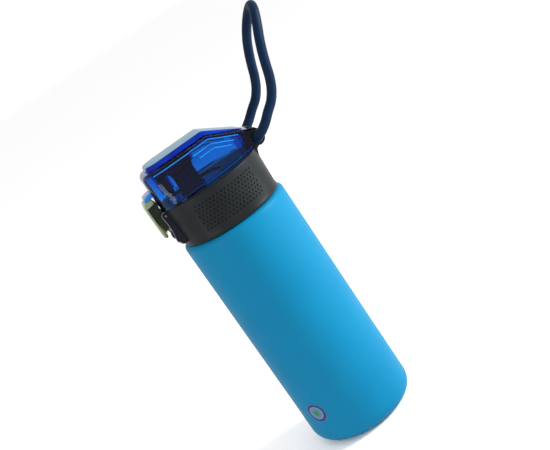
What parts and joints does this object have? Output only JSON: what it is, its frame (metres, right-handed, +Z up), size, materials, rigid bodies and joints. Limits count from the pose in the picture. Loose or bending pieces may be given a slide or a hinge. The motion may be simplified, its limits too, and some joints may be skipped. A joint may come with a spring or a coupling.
{
  "type": "flip-top sports bottle",
  "caption": "Tall frosted drinking bottle with a screw cap, hinged flip lid, front latch button, spout and a cord carrying loop.",
  "frame": {"origin": "middle of the flat base, where the bottle stands", "axes": "+Z up along the bottle's axis, -Y towards the latch button, +Y towards the lid's hinge"},
  "size_m": [0.073, 0.1287, 0.2653],
  "materials": {
    "frosted_bottle": "frosted",
    "collar_grey": "satin",
    "liner_white": "satin",
    "seal_silicone": "matte",
    "latch_black": "gloss",
    "latch_olive": "satin",
    "clear_blue": "gloss",
    "panel_blue": "satin",
    "navy_silicone": "matte",
    "cord_rubber": "matte",
    "spring_steel": "satin",
    "label_film": "satin"
  },
  "bodies": {
    "bottle": {"bottle_body": "frosted_bottle", "body_badge": "label_film"},
    "cap_riser": {"cap_seal_ring": "seal_silicone"},
    "cap": {"collar": "collar_grey", "inner_cap": "liner_white", "spout": "navy_silicone", "latch_housing": "latch_black", "latch_pin": "spring_steel", "latch_spring": "spring_steel"},
    "latch": {"latch_button": "latch_olive"},
    "lid": {"flip_lid": "clear_blue", "lid_top_panel": "panel_blue", "spout_stopper": "navy_silicone", "vent_plug": "navy_silicone", "hinge_sleeve": "collar_grey"},
    "strap": {"strap_cord": "cord_rubber", "strap_joiner": "latch_black"}
  },
  "joints": [
    {"name": "cap_lift", "type": "slide", "parent": "bottle", "child": "cap_riser", "axis": [0, 0, 1], "range_m": [0, 0.00501]},
    {"name": "cap_turn", "type": "hinge", "parent": "cap_riser", "child": "cap", "pos_m": [0, 0, 0.175], "axis": [0, 0, 1], "range_deg": [0, 450]},
    {"name": "lid_open", "type": "hinge", "parent": "cap", "child": "lid", "pos_m": [0, 0.0375, 0.196], "axis": [-1, 0, 0], "range_deg": [0, 110]},
    {"name": "latch_press", "type": "hinge", "parent": "cap", "child": "latch", "pos_m": [0, -0.035, 0.1872], "axis": [1, 0, 0], "range_deg": [0, 5], "stiffness_Nm_per_rad": 0.2, "springref_deg": -2.86, "deforming": ["latch_spring"]},
    {"name": "strap_swing", "type": "hinge", "parent": "lid", "child": "strap", "pos_m": [0, 0.0375, 0.196], "axis": [-1, 0, 0], "range_deg": [-40, 20]}
  ],
  "couplings": [
    {"joint": "cap_lift", "follows": "cap_turn", "m_per_rad": 0.00063662}
  ]
}
